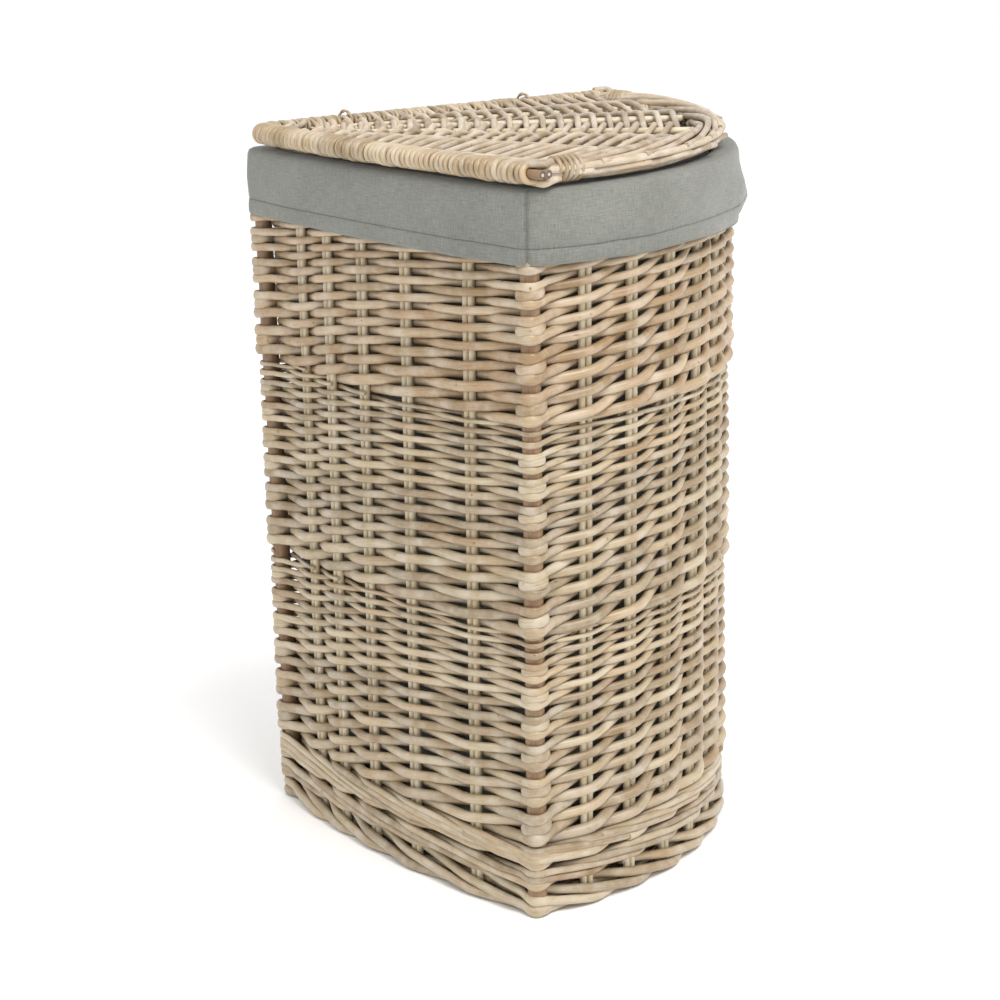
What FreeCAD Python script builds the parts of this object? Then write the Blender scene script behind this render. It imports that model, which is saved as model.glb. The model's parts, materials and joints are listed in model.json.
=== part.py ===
import FreeCAD, Part
import math
import os

os.makedirs("parts", exist_ok=True)

# Quarter-round willow laundry basket with a cloth liner and a hinged woven lid.
# Millimetres, +Z up. The square corner points back (+Y), the bowed front faces -Y.
# The origin is on the floor, under the middle of the object's box.

# Plan of the wall's centre line at the rim
side_length = 350.0        # corner post to corner post along a flat side
front_reach = 372.0        # back post to the middle of the bowed front
side_bow_rim = 7.0         # how far a flat side bows outwards, at the rim
side_bow_base = 15.0       # the same at the foot
base_scale = 0.95          # size of the foot outline against the rim outline
taper_centre = 145.0       # the taper shrinks about this point, from both flat sides
back_post_y = 183.34       # back post from the middle of the object's box

# Wall
wall_half = 8.5            # half of the woven wall's thickness
border_half = 9.0          # half of the foot border's thickness
corner_post_radius = 7.3
stake_radius = 2.5
channel_gap = 0.2          # room round a rod where it passes through the weave
seam_gap = 0.15            # room between woven bands
flat_side_stakes = (0.177, 0.291, 0.430, 0.595, 0.810)
front_stake_count = 11

# Heights
foot_top = 18.0
upsett_top = 57.0
lower_top = 218.0
middle_top = 377.0
upper_top = 536.0
rim_top = 549.0
rod_foot = 4.0             # stakes and posts start inside the foot border
rod_top = 546.0

# Base
base_bottom = 7.0
base_top = 19.0
base_stick_radius = 4.0
base_stick_tip = 1.6

# Liner
cloth = 1.5
cloth_gap = 0.35           # room between the cloth and the wall
cuff_bottom = 498.0

# Lid
lid_height = 563.0         # middle of the lid's thickness
lid_half = 7.2             # half of the lid's woven thickness
lid_edge_offset = 1.5      # lid edge sticks from the wall's centre line, outwards
edge_stick_radius = 3.5
edge_wrap = 3.2            # weavers that turn round the edge sticks
lid_side_bow = 9.0         # bow of the free flat edge
lid_front_reach = 359.0    # back post to the front border's middle line
lid_border_start = 350.0   # where the front border meets the edge sticks
border_width = 22.0
border_gap = 2.0           # room between the edge sticks and the front border
border_thickness = 17.0
tie_from = 1.2             # corner ties, in degrees from the ends of the front border
tie_to = 4.2
tie_margin = 0.1
tie_thickness = 2.8
stick_end = 367.0
free_stick_end = 368.7     # the bowed edge sticks are a little longer
rib_angles = (15.0, 30.0, 45.0, 60.0, 75.0)
rib_radius = 3.0
rib_tip_radius = 1.4
rib_start = 44.0

# Hinge
loop_inside = 9.0          # clear half width of a hinge loop
loop_rod_radius = 1.9
loop_places = (85.0, 270.0)    # along the hinged flat side, from the back post
loop_bottom = 528.0
slit_gap = 0.5             # room round a loop in the cloth and in the lid


def place(left, right, height):
    """Point measured from the back post along the left and right flat sides."""
    half_root = math.sqrt(0.5)
    return FreeCAD.Vector(
        (right - left) * half_root,
        back_post_y - (left + right) * half_root,
        height,
    )


def tapered(left, right, height):
    """Where a point of the rim's plan comes at a height of the tapering wall."""
    scale = base_scale + (1.0 - base_scale) * height / rim_top
    return (
        taper_centre + (left - taper_centre) * scale,
        taper_centre + (right - taper_centre) * scale,
    )


def centre_line(height):
    """The wall's centre line: left side, front and right side, as three arcs."""
    bow = side_bow_base + (side_bow_rim - side_bow_base) * height / rim_top
    middle = side_length / 2.0
    reach = front_reach * math.sqrt(0.5)
    back = place(*tapered(0.0, 0.0, height), height)
    left = place(*tapered(side_length, 0.0, height), height)
    right = place(*tapered(0.0, side_length, height), height)
    front = place(*tapered(reach, reach, height), height)
    left_a, left_b = tapered(middle, 0.0, height)
    right_a, right_b = tapered(0.0, middle, height)
    left_middle = place(left_a, left_b - bow, height)
    right_middle = place(right_a - bow, right_b, height)
    return (
        Part.Arc(back, left_middle, left).toShape(),
        Part.Arc(left, front, right).toShape(),
        Part.Arc(right, right_middle, back).toShape(),
    )


def outline(height, offset):
    """Closed outline of the wall at a height, offset from the centre line."""
    return Part.Wire(centre_line(height)).makeOffset2D(offset)


def prism(bottom, top, offset):
    """Everything inside the tapering outline between two heights."""
    return Part.makeLoft([outline(bottom, offset), outline(top, offset)], True, True)


def ring(bottom, top, outer, inner):
    """A band of wall between two heights."""
    return prism(bottom, top, outer).cut(prism(bottom - 1.0, top + 1.0, inner))


def rod(start, end, radius, end_radius=None):
    """Round rod between two points, tapering when an end radius is given."""
    along = end - start
    if end_radius is None or end_radius == radius:
        return Part.makeCylinder(radius, along.Length, start, along)
    return Part.makeCone(radius, end_radius, along.Length, start, along)


def wall_spot(side, fraction, height):
    """Point and direction of the wall's centre line at a fraction of one side."""
    edge = centre_line(height)[side]
    at = edge.FirstParameter + fraction * (edge.LastParameter - edge.FirstParameter)
    return edge.valueAt(at), edge.tangentAt(at)


def stake_pair(side, fraction, gap=0.0):
    """Two stakes side by side, from the foot border to the rim border."""
    foot, foot_along = wall_spot(side, fraction, rod_foot - gap)
    top, top_along = wall_spot(side, fraction, rod_top + gap)
    apart = stake_radius + 0.1
    return [
        rod(foot + foot_along * apart * way, top + top_along * apart * way, stake_radius + gap)
        for way in (-1.0, 1.0)
    ]


def corner_post(left, right, gap=0.0):
    """Thick single stick at a corner."""
    foot = place(*tapered(left, right, rod_foot - gap), rod_foot - gap)
    top = place(*tapered(left, right, rod_top + gap), rod_top + gap)
    return rod(foot, top, corner_post_radius + gap)


def wall_rods(gap=0.0):
    """Every upright of the wall by name, each as a list of solids."""
    rods = {
        "corner_post_back": [corner_post(0.0, 0.0, gap)],
        "corner_post_left": [corner_post(side_length, 0.0, gap)],
        "corner_post_right": [corner_post(0.0, side_length, gap)],
    }
    for number, fraction in enumerate(flat_side_stakes, 1):
        rods[f"left_stake_{number}"] = stake_pair(0, fraction, gap)
        rods[f"right_stake_{number}"] = stake_pair(2, 1.0 - fraction, gap)
    for number in range(1, front_stake_count + 1):
        fraction = number / (front_stake_count + 1.0)
        rods[f"front_stake_{number}"] = stake_pair(1, fraction, gap)
    return rods


def hinge_loop(along, gap=0.0):
    """Willow loop round the lid's edge sticks and the rim border, in an upright plane."""
    radius = loop_inside + loop_rod_radius
    low = loop_bottom + radius

    def spot(out, height):
        return place(-lid_edge_offset - out, along, height)

    path = Part.Wire([
        Part.Arc(
            spot(radius, lid_height), spot(0.0, lid_height + radius), spot(-radius, lid_height)
        ).toShape(),
        Part.makeLine(spot(-radius, lid_height), spot(-radius, low)),
        Part.Arc(spot(-radius, low), spot(0.0, low - radius), spot(radius, low)).toShape(),
        Part.makeLine(spot(radius, low), spot(radius, lid_height)),
    ])
    profile = Part.Wire(
        Part.Circle(
            spot(radius, lid_height), FreeCAD.Vector(0, 0, 1), loop_rod_radius + gap
        ).toShape()
    )
    return path.makePipeShell([profile], True, True)


def fan(height, start, start_radius, end_radius, reach, paired, gap=0.0):
    """Rods that spread from the back corner, by number."""
    rods = []
    for angle in rib_angles:
        turn = math.radians(angle)
        end = reach(turn)
        near = (start * math.cos(turn), start * math.sin(turn))
        far = (end * math.cos(turn), end * math.sin(turn))
        ways = (-1.0, 1.0) if paired else (0.0,)
        group = []
        for way in ways:
            first = way * (start_radius + 0.1)
            last = way * (end_radius + 0.1)
            begin = place(
                near[0] - first * math.sin(turn), near[1] + first * math.cos(turn), height
            )
            finish = place(far[0] - last * math.sin(turn), far[1] + last * math.cos(turn), height)
            group.append(rod(begin, finish, start_radius + gap, end_radius + gap))
        rods.append(group)
    return rods


def circle_through(end_left, end_right, reach):
    """Centre (on the diagonal) and radius of the arc from one flat side to the other."""
    root = math.sqrt(2.0)
    chord_middle = (end_left + end_right) / root
    half_chord = (end_left - end_right) / root
    rise = reach - chord_middle
    radius = (half_chord ** 2 + rise ** 2) / (2.0 * rise)
    return (reach - radius) / root, radius


def save(name, solids):
    shape = solids[0] if len(solids) == 1 else Part.makeCompound(solids)
    shape.exportStep(f"parts/{name}.step")


# Wall: bands of weaving with channels for the uprights
loops = [hinge_loop(along) for along in loop_places]
loop_room = [hinge_loop(along, channel_gap) for along in loop_places]
uprights = wall_rods()
upright_room = [solid for group in wall_rods(channel_gap).values() for solid in group]
bands = {
    "foot_border": (0.0, foot_top, border_half),
    "upsett_wale": (foot_top, upsett_top, border_half),
    "rand_lower": (upsett_top, lower_top, wall_half),
    "rand_middle": (lower_top, middle_top, wall_half),
    "rand_upper": (middle_top, upper_top, wall_half),
    "rim_border": (upper_top, rim_top, wall_half),
}
for name, (bottom, top, half) in bands.items():
    lift = seam_gap if bottom > 0.0 else 0.0
    band = ring(bottom + lift, top, half, -wall_half)
    save(name, [band.cut(upright_room + loop_room)])
for name, solids in uprights.items():
    save(name, solids)
for name, solid in zip(("hinge_loop_back", "hinge_loop_front"), loops):
    save(name, [solid])

# Base: a woven plate on sticks that fan out from the back corner
base_back = tapered(0.0, 0.0, base_top)[0] * math.sqrt(2.0)


def base_reach(turn):
    """Distance from the back post's foot to just inside the base's edge."""
    left, right = tapered(side_length, 0.0, base_top)
    reach = front_reach * math.sqrt(0.5)
    front = tapered(reach, reach, base_top)[0] * math.sqrt(2.0)
    centre, radius = circle_through(left, right, front)
    lean = math.sqrt(2.0) * centre * math.cos(turn - math.radians(45.0))
    return lean + math.sqrt(lean ** 2 - 2.0 * centre ** 2 + radius ** 2) - 2.0 * wall_half


base_height = (base_bottom + base_top) / 2.0
base_start = base_back + rib_start
base_args = (base_height, base_start, base_stick_tip, base_stick_radius, base_reach, False)
base_plate = prism(base_bottom, base_top, -wall_half - seam_gap)
base_room = [solid for group in fan(*base_args, channel_gap) for solid in group]
save("base_weave", [base_plate.cut(base_room)])
for number, solids in enumerate(fan(*base_args), 1):
    save(f"base_stick_{number}", solids)

# Liner: the bag inside, and the cuff folded over the rim
inside_face = -wall_half - cloth_gap
bag_inside = inside_face - cloth
cuff_inside = wall_half + cloth_gap
cuff_outside = cuff_inside + cloth
bag_floor = base_top + cloth_gap
fold_bottom = rim_top + cloth_gap
fold_top = fold_bottom + cloth
slits = [hinge_loop(along, slit_gap) for along in loop_places]
bag = prism(bag_floor, fold_bottom, inside_face).cut(
    prism(bag_floor + cloth, fold_bottom + 1.0, bag_inside)
)
save("liner_bag", [bag.cut(slits)])
cuff = prism(cuff_bottom, fold_top, cuff_outside)
cuff = cuff.cut(prism(cuff_bottom - 1.0, fold_bottom, cuff_inside))
cuff = cuff.cut(prism(fold_bottom - 1.0, fold_top + 1.0, bag_inside))
save("liner_cuff", [cuff.cut(slits)])

# Lid: edge sticks, ribs, front border, corner ties and the woven plate
edge_line = -lid_edge_offset
plate_edge = edge_line - 2.0 * edge_stick_radius - edge_wrap
border_centre, border_radius = circle_through(lid_border_start, edge_line, lid_front_reach)
border_half_width = border_width / 2.0
lid_corner_gap = 2.0 * edge_stick_radius + 0.5


def edge_drop(along):
    """How far the free flat edge bows outwards at a place along it."""
    half_side = side_length / 2.0
    return lid_side_bow * (1.0 - ((along - half_side) / half_side) ** 2)


def left_edge(offset, start, end, height=lid_height):
    """Arc along the free flat edge, offset towards the middle of the lid."""
    spots = (start, (start + end) / 2.0, end)
    return Part.Arc(
        *(place(along, edge_line + offset - edge_drop(along), height) for along in spots)
    ).toShape()


def swept(path, radius):
    """Round rod along an edge."""
    start = path.valueAt(path.FirstParameter)
    profile = Part.Wire(
        Part.Circle(start, path.tangentAt(path.FirstParameter), radius).toShape()
    )
    return Part.Wire([path]).makePipeShell([profile], True, True)


def left_sticks(gap=0.0):
    apart = edge_stick_radius + 0.05
    return [
        swept(left_edge(way * apart, lid_corner_gap, free_stick_end), edge_stick_radius + gap)
        for way in (-1.0, 1.0)
    ]


def right_sticks(gap=0.0):
    apart = edge_stick_radius + 0.05
    start = edge_line - lid_corner_gap
    return [
        rod(
            place(edge_line + way * apart, start, lid_height),
            place(edge_line + way * apart, stick_end, lid_height),
            edge_stick_radius + gap,
        )
        for way in (-1.0, 1.0)
    ]


def rib_reach(turn):
    """Distance from the back post to just behind the front border."""
    lean = math.sqrt(2.0) * border_centre * math.cos(turn - math.radians(45.0))
    far = math.sqrt(lean ** 2 - 2.0 * border_centre ** 2 + border_radius ** 2)
    return lean + far - border_half_width - 1.5


save("lid_edge_sticks_left", left_sticks())
save("lid_edge_sticks_right", right_sticks())

# Front border: an oval section turned about the middle of the front arc, tied at both ends
border_axis = place(border_centre, border_centre, lid_height)
start_right = edge_line + 2.0 * edge_stick_radius + border_gap
start_lean = math.asin((border_centre - start_right) / border_radius)
half_sweep = math.degrees(math.pi / 4.0 + start_lean)
left_turn = -90.0 - half_sweep
right_turn = -90.0 + half_sweep


def border_stretch(grow, start, end):
    """Front border between two turns about its axis, grown all round."""
    oval = Part.Ellipse(
        FreeCAD.Vector(0, 0, 0), border_half_width + grow, border_thickness / 2.0 + grow
    ).toShape()
    oval.rotate(FreeCAD.Vector(0, 0, 0), FreeCAD.Vector(1, 0, 0), 90.0)
    oval.translate(FreeCAD.Vector(border_radius, 0, 0))
    oval.rotate(FreeCAD.Vector(0, 0, 0), FreeCAD.Vector(0, 0, 1), start)
    oval.translate(border_axis)
    face = Part.Face(Part.Wire(oval))
    return face.revolve(border_axis, FreeCAD.Vector(0, 0, 1), end - start)


save("lid_front_border", [border_stretch(0.0, left_turn, right_turn)])
core = border_stretch(seam_gap, left_turn, right_turn)
tie_room = []
ties = {
    "lid_tie_left": (left_turn + tie_from, left_turn + tie_to),
    "lid_tie_right": (right_turn - tie_to, right_turn - tie_from),
}
for name, (start, end) in ties.items():
    save(name, [border_stretch(tie_thickness, start, end).cut(core)])
    tie_room.append(border_stretch(tie_thickness + channel_gap, start - tie_margin, end + tie_margin))

# Woven plate between the edge sticks and the front border
lid_low = lid_height - lid_half
arc_radius = border_radius - border_half_width - 0.3


def arc_along(right):
    """Distance along the left side where the plate's front arc meets a line."""
    return border_centre + math.sqrt(arc_radius ** 2 - (right - border_centre) ** 2)


plate_left = left_edge(
    -2.0 * edge_stick_radius - edge_wrap, plate_edge, arc_along(plate_edge), lid_low
)
left_tip = plate_left.valueAt(plate_left.LastParameter)
right_tip = place(plate_edge, arc_along(plate_edge), lid_low)
back_tip = plate_left.valueAt(plate_left.FirstParameter)
diagonal = border_centre + arc_radius * math.sqrt(0.5)
plate_front = Part.Arc(left_tip, place(diagonal, diagonal, lid_low), right_tip).toShape()
plate_wire = Part.Wire([
    plate_left,
    plate_front,
    Part.makeLine(right_tip, back_tip),
])
plate = Part.Face(plate_wire).extrude(FreeCAD.Vector(0, 0, 2.0 * lid_half))
hinge_way = (right_tip - back_tip).normalize()
hinged_edges = [
    edge for edge in plate.Edges
    if edge.Length > side_length / 2.0
    and isinstance(edge.Curve, Part.Line)
    and abs(abs(edge.tangentAt(edge.FirstParameter).dot(hinge_way)) - 1.0) < 1e-6
]
plate = plate.makeFillet(lid_half - 0.2, hinged_edges)
notch_half = loop_rod_radius + 2.0 * slit_gap
notch_in = edge_line + loop_inside + 2.0 * loop_rod_radius + 2.0 * slit_gap
notches = []
for along in loop_places:
    corners = [
        place(plate_edge - 1.0, along - notch_half, lid_low - 1.0),
        place(notch_in, along - notch_half, lid_low - 1.0),
        place(notch_in, along + notch_half, lid_low - 1.0),
        place(plate_edge - 1.0, along + notch_half, lid_low - 1.0),
    ]
    face = Part.Face(Part.makePolygon(corners + corners[:1]))
    notches.append(face.extrude(FreeCAD.Vector(0, 0, 2.0 * lid_half + 2.0)))
rib_args = (lid_height, rib_start, rib_tip_radius, rib_radius, rib_reach, True)
rib_room = [solid for group in fan(*rib_args, channel_gap) for solid in group]
plate = plate.cut(rib_room + tie_room + notches)
plate = plate.cut(left_sticks(channel_gap) + right_sticks(channel_gap))
save("lid_weave", [plate])
for number, solids in enumerate(fan(*rib_args), 1):
    save(f"lid_rib_{number}", solids)
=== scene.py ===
import json
import math
import random

import bmesh
import bpy
from mathutils import Matrix, Vector, noise


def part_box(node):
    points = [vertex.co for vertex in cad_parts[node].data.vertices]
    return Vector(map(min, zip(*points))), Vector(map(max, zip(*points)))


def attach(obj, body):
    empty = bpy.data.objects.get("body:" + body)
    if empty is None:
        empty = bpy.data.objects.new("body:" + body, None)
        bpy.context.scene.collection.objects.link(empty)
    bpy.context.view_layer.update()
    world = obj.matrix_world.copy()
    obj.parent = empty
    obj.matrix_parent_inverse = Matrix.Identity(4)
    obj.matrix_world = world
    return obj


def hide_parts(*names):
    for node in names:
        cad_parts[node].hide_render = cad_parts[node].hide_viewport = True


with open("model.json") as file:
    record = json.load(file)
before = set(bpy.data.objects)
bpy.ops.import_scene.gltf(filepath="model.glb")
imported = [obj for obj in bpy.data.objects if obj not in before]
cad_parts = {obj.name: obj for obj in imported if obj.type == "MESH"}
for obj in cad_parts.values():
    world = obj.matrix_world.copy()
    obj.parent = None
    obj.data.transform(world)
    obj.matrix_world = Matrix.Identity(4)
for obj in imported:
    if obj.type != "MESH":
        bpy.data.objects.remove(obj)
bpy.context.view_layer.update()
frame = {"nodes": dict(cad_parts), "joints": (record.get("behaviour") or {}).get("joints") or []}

nodes = frame["nodes"]
mm = 0.001
up = Vector((0, 0, 1))


def linear(hexColour):
    # sRGB hex to the linear values that a shader wants
    values = [int(hexColour[i:i + 2], 16) / 255 for i in (1, 3, 5)]
    turned = [v / 12.92 if v <= 0.04045 else ((v + 0.055) / 1.055) ** 2.4 for v in values]
    return (*turned, 1.0)


def addNode(material, kind, settings=None, links=None):
    # adds one shader node, sets its properties, sockets and colour stops, and links its inputs
    node = material.node_tree.nodes.new(kind)
    for key, value in (settings or {}).items():
        if key == "stops":
            while len(node.color_ramp.elements) < len(value):
                node.color_ramp.elements.new(0.5)
            for element, (place, colour) in zip(node.color_ramp.elements, value):
                element.position = place
                element.color = linear(colour)
        elif isinstance(key, str) and hasattr(node, key):
            setattr(node, key, value)
        else:
            node.inputs[key].default_value = value
    for key, source in (links or {}).items():
        material.node_tree.links.new(source, node.inputs[key])
    return node


def newMaterial(name):
    material = bpy.data.materials.new(name)
    material.use_nodes = True
    material.node_tree.nodes.clear()
    return material


def finishPiece(name, mesh, body, replaced, materials):
    piece = bpy.data.objects.new(name, mesh)
    bpy.context.scene.collection.objects.link(piece)
    for material in materials:
        mesh.materials.append(material)
    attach(piece, body)
    if replaced:
        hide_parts(*replaced)
    return piece


def washedWillow(name, look):
    # peeled willow, boiled and dipped in a thin grey-white wash: satin, streaked along the rod, with
    # chalky patches where the wash sits and warmer ones where it is rubbed off
    material = newMaterial(name)
    grain = addNode(material, "ShaderNodeAttribute", {"attribute_name": "grain"})
    tone = addNode(material, "ShaderNodeAttribute", {"attribute_name": "tone"})
    base = addNode(material, "ShaderNodeValToRGB", {"stops": look["tones"]}, {"Fac": tone.outputs["Fac"]})
    # fibres are about 0.3 mm wide and run for about 20 mm; drawn 1.1 mm wide so that they show
    drawn = addNode(material, "ShaderNodeMapping", {"Scale": (1.0, 1.0, 0.06)},
                    {"Vector": grain.outputs["Vector"]})
    fibres = addNode(material, "ShaderNodeTexNoise", {"Scale": 900.0, "Detail": 4.0, "Roughness": 0.6},
                     {"Vector": drawn.outputs["Vector"]})
    fibreShade = addNode(material, "ShaderNodeValToRGB",
                         {"stops": [(0.30, look["streak"]), (0.55, "#F4F0E8"), (0.75, "#FFFFFF")]},
                         {"Fac": fibres.outputs["Fac"]})
    streaked = addNode(material, "ShaderNodeMix", {"data_type": "RGBA", "blend_type": "MULTIPLY", 0: 0.5},
                       {6: base.outputs["Color"], 7: fibreShade.outputs["Color"]})
    # the wash lies in patches about 20 mm long
    patches = addNode(material, "ShaderNodeTexNoise", {"Scale": 48.0, "Detail": 5.0, "Roughness": 0.62},
                      {"Vector": grain.outputs["Vector"]})
    washAmount = addNode(material, "ShaderNodeMapRange", {1: 0.42, 2: 0.68, 3: 0.0, 4: look["washPatch"]},
                         {0: patches.outputs["Fac"]})
    washed = addNode(material, "ShaderNodeMix", {"data_type": "RGBA", 7: linear(look["wash"])},
                     {0: washAmount.outputs["Result"], 6: streaked.outputs[2]})
    # warm stretches 100 mm long where the bare wood shows
    broad = addNode(material, "ShaderNodeTexNoise", {"Scale": 9.0, "Detail": 2.0},
                    {"Vector": grain.outputs["Vector"]})
    warmth = addNode(material, "ShaderNodeMapRange", {1: 0.48, 2: 0.72, 3: 0.0, 4: look["warmPatch"]},
                     {0: broad.outputs["Fac"]})
    warmed = addNode(material, "ShaderNodeMix", {"data_type": "RGBA", "blend_type": "MULTIPLY",
                                                 7: linear("#E3BE90")},
                     {0: warmth.outputs["Result"], 6: washed.outputs[2]})
    # a few brown specks, 1 mm across, where buds were
    specks = addNode(material, "ShaderNodeTexNoise", {"Scale": 210.0, "Detail": 1.0},
                     {"Vector": grain.outputs["Vector"]})
    speckAmount = addNode(material, "ShaderNodeMapRange", {1: 0.74, 2: 0.80, 3: 0.0, 4: 0.75},
                          {0: specks.outputs["Fac"]})
    specked = addNode(material, "ShaderNodeMix", {"data_type": "RGBA", 7: linear("#7A5234")},
                      {0: speckAmount.outputs["Result"], 6: warmed.outputs[2]})
    bump = addNode(material, "ShaderNodeBump", {"Strength": 0.3, "Distance": 0.0004},
                   {"Height": fibres.outputs["Fac"]})
    shine = addNode(material, "ShaderNodeMapRange", {1: 0.3, 2: 0.7, 3: look["roughness"] - 0.07,
                                                     4: look["roughness"] + 0.12},
                    {0: patches.outputs["Fac"]})
    shader = addNode(material, "ShaderNodeBsdfPrincipled", {"IOR": 1.5, "Specular IOR Level": 0.5},
                     {"Base Color": specked.outputs[2], "Roughness": shine.outputs["Result"],
                      "Normal": bump.outputs["Normal"]})
    addNode(material, "ShaderNodeOutputMaterial", links={"Surface": shader.outputs["BSDF"]})
    return material


wallWillow = washedWillow("washed willow, wall rods", {
    "tones": [(0.0, "#95846A"), (0.35, "#A8977B"), (0.7, "#B1A184"), (1.0, "#BDAE92")],
    "streak": "#A99C88", "wash": "#CCC4B6", "washPatch": 0.5, "warmPatch": 0.4, "roughness": 0.34})
tanWillow = washedWillow("washed willow, tan rods", {
    "tones": [(0.0, "#988262"), (0.4, "#A99273"), (0.75, "#B39E80"), (1.0, "#BDAA8E")],
    "streak": "#A8967F", "wash": "#CFC5B6", "washPatch": 0.5, "warmPatch": 0.4, "roughness": 0.33})
# stakes, and the lid ribs that share this material: their own paler tone, lifted further as painted light to
# offset the shade they sit in behind the weavers
stakeWillow = washedWillow("washed willow, stakes", {
    "tones": [(0.0, "#CFC1A0"), (1.0, "#E0D4B8")],
    "streak": "#BDB19B", "wash": "#E2DACB", "washPatch": 0.55, "warmPatch": 0.25, "roughness": 0.42})
postWillow = washedWillow("brown willow, bark on", {
    "tones": [(0.0, "#775A40"), (1.0, "#917355")],
    "streak": "#94836C", "wash": "#A59379", "washPatch": 0.4, "warmPatch": 0.3, "roughness": 0.5})
lidWillow = washedWillow("washed willow, lid rods", {
    "tones": [(0.0, "#9C8B74"), (0.5, "#B5A48C"), (1.0, "#C8BAA3")],
    "streak": "#A2937F", "wash": "#D9D0C4", "washPatch": 0.6, "warmPatch": 0.3, "roughness": 0.46})
skeinWillow = washedWillow("skeined willow, wraps", {
    "tones": [(0.0, "#94815F"), (0.5, "#AC997A"), (1.0, "#C0AF91")],
    "streak": "#94836A", "wash": "#D2C8B8", "washPatch": 0.5, "warmPatch": 0.35, "roughness": 0.33})


def cutWillow(name, low, high):
    # the sawn end of a rod: rough, with fine rays about 0.8 mm apart
    material = newMaterial(name)
    place = addNode(material, "ShaderNodeTexCoord")
    rays = addNode(material, "ShaderNodeTexNoise", {"Scale": 1200.0, "Detail": 3.0},
                   {"Vector": place.outputs["Object"]})
    colour = addNode(material, "ShaderNodeValToRGB", {"stops": [(0.3, low), (0.7, high)]},
                     {"Fac": rays.outputs["Fac"]})
    bump = addNode(material, "ShaderNodeBump", {"Strength": 0.4, "Distance": 0.0003},
                   {"Height": rays.outputs["Fac"]})
    shader = addNode(material, "ShaderNodeBsdfPrincipled", {"Roughness": 0.8},
                     {"Base Color": colour.outputs["Color"], "Normal": bump.outputs["Normal"]})
    addNode(material, "ShaderNodeOutputMaterial", links={"Surface": shader.outputs["BSDF"]})
    return material


cutEnd = cutWillow("cut willow", "#84735A", "#BFAF8F")
barkEnd = cutWillow("cut willow, weathered", "#4A4038", "#6E6358")
pith = cutWillow("willow pith", "#A79D91", "#C9C2B8")


def makeRods(name, rods, body, replaced, material, seed=1, sides=8, steps=3, ends=(cutEnd, cutEnd)):
    # rods is a list of rods, each a list of (place, radius) control points
    luck = random.Random(seed)
    curve = bpy.data.curves.new(name, "CURVE")
    curve.dimensions = "3D"
    curve.bevel_depth = 1.0
    curve.bevel_resolution = (sides - 4) // 2
    curve.resolution_u = steps
    curve.use_fill_caps = False
    for rod in rods:
        spline = curve.splines.new("NURBS")
        spline.points.add(len(rod) - 1)
        for point, (place, radius) in zip(spline.points, rod):
            point.co = (*place, 1.0)
            point.radius = radius
        spline.order_u = 3
        spline.use_endpoint_u = True
    holder = bpy.data.objects.new(name + "_curve", curve)
    bpy.context.scene.collection.objects.link(holder)
    seen = holder.evaluated_get(bpy.context.evaluated_depsgraph_get())
    mesh = bpy.data.meshes.new_from_object(seen)
    mesh.name = name
    mesh.materials.clear()
    bpy.data.objects.remove(holder)

    # tone is one value for each rod; grain is a place on the rod's own cylinder
    tones, grains = [], []
    vertices = mesh.vertices
    at = 0
    for rod in rods:
        rodTone = luck.random()
        shift = Vector((luck.random(), luck.random(), luck.random())) * 5.0
        rings = steps * (len(rod) - 1)
        along = 0.0
        before = None
        for ring in range(rings):
            first = at + ring * sides
            middle = (vertices[first].co + vertices[first + sides // 2].co) / 2
            radius = (vertices[first].co - middle).length
            along += (middle - before).length if before else 0.0
            before = middle
            for side in range(sides):
                angle = math.tau * side / sides
                grains.extend((shift.x + radius * math.cos(angle), shift.y + radius * math.sin(angle),
                               shift.z + along))
                tones.append(rodTone)
        at += rings * sides
    mesh.attributes.new("tone", "FLOAT", "POINT").data.foreach_set("value", tones)
    mesh.attributes.new("grain", "FLOAT_VECTOR", "POINT").data.foreach_set("vector", grains)

    shape = bmesh.new()
    shape.from_mesh(mesh)
    rims = [edge for edge in shape.edges if edge.is_boundary]
    caps = bmesh.ops.holes_fill(shape, edges=rims, sides=0)["faces"]
    bmesh.ops.inset_individual(shape, faces=caps, thickness=0.0004, depth=0.0003)
    for face in shape.faces:
        face.smooth = True
    for face in caps:
        face.material_index = 1
        face.smooth = False
    if ends[1] is not ends[0]:
        for face in caps:
            bmesh.ops.inset_individual(shape, faces=[face], thickness=0.34 * math.sqrt(face.calc_area()))
            face.material_index = 2
    shape.to_mesh(mesh)
    shape.free()
    return finishPiece(name, mesh, body, replaced, [material, *dict.fromkeys(ends)])


class Station:
    # where one upright of the wall stands, read from the frame
    def __init__(self, node):
        places = [v.co for v in nodes[node].data.vertices]
        middle = sum(p.z for p in places) / len(places)
        low = [p for p in places if p.z < middle]
        high = [p for p in places if p.z >= middle]
        self.foot = sum(low, Vector()) / len(low)
        self.top = sum(high, Vector()) / len(high)
        self.isPost = node.startswith("corner_post")
        self.node = node

    def at(self, height):
        share = (height - self.foot.z) / (self.top.z - self.foot.z)
        return self.foot.lerp(self.top, share)


order = (["corner_post_back"] + [f"left_stake_{n}" for n in range(1, 6)]
         + ["corner_post_left"] + [f"front_stake_{n}" for n in range(1, 12)]
         + ["corner_post_right"] + [f"right_stake_{n}" for n in range(5, 0, -1)])
stations = [Station(node) for node in order]
count = len(stations)
for index, station in enumerate(stations):
    before = stations[index - 1].foot
    after = stations[(index + 1) % count].foot
    station.gap = ((station.foot - before).length + (after - station.foot).length) / 2
    station.wayIn = (station.foot - before).normalized()
    station.wayOut = (after - station.foot).normalized()
    station.way = (station.wayIn + station.wayOut).normalized()
    station.outIn = station.wayIn.cross(up).normalized()
    station.outOut = station.wayOut.cross(up).normalized()
    station.out = station.way.cross(up).normalized()

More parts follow.
